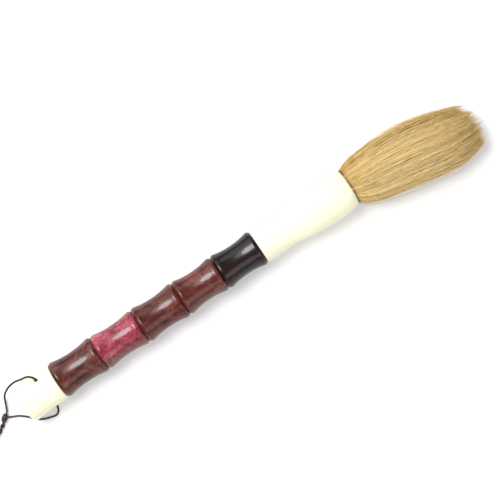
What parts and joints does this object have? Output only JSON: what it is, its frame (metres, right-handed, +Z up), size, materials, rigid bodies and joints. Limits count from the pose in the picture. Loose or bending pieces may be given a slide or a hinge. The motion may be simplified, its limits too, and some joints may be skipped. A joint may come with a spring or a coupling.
{
  "type": "calligraphy brush",
  "caption": "Large calligraphy brush with a waisted stone bead handle, bone cap and ferrule, fluffy hair tuft and hanging cord.",
  "frame": {"origin": "on the table below the middle of the brush, its hanging cord left out", "axes": "+X along the brush from tail to tuft, +Z up from the table it lies on"},
  "size_m": [0.3166, 0.0486, 0.0246],
  "materials": {
    "bone": "polished ivory-white bone",
    "stone_red_brown": "polished, dark red-brown with grey-brown mottling",
    "stone_pink": "polished, crimson pink with dark flecks",
    "stone_russet": "polished, russet with greyish areas",
    "stone_rose_brown": "polished, brownish red with grey-brown veins",
    "stone_black": "polished, nearly black with a maroon tint",
    "wood_rod": "plain turned dowel",
    "hair": "dry golden-tan animal hair",
    "hair_set": "hair set hard in resin",
    "resin": "amber resin",
    "thread": "plain linen thread",
    "cord": "waxed dark brown cord"
  },
  "bodies": {
    "handle": {"tail_cap": "bone", "handle_bead_1": "stone_red_brown", "handle_bead_2": "stone_pink", "handle_bead_3": "stone_russet", "handle_bead_4": "stone_rose_brown", "handle_bead_5": "stone_black", "ferrule": "bone", "centre_rod": "wood_rod", "hair_root": "hair_set", "root_binding": "thread", "root_resin": "resin"},
    "tuft": {"hair_core": "hair", "hair_mantle": "hair"},
    "hanging_cord": {"cord_upper_strand": "cord", "cord_lower_strand": "cord", "loop_knot": "cord", "twisted_cord": "cord", "end_knot": "cord", "end_loop": "cord"}
  },
  "joints": [
    {"name": "hair_flex", "type": "hinge", "parent": "handle", "child": "tuft", "pos_m": [0.05836, 0.0049, 0.01223], "axis": [0, 0, 1], "range_deg": [-25, 25], "stiffness_Nm_per_rad": 0.05},
    {"name": "cord_swing", "type": "hinge", "parent": "handle", "child": "hanging_cord", "pos_m": [-0.12824, 0.0049, 0.01131], "axis": [-0.0043, 0.4848, 0.8746], "range_deg": [0, 40]}
  ]
}
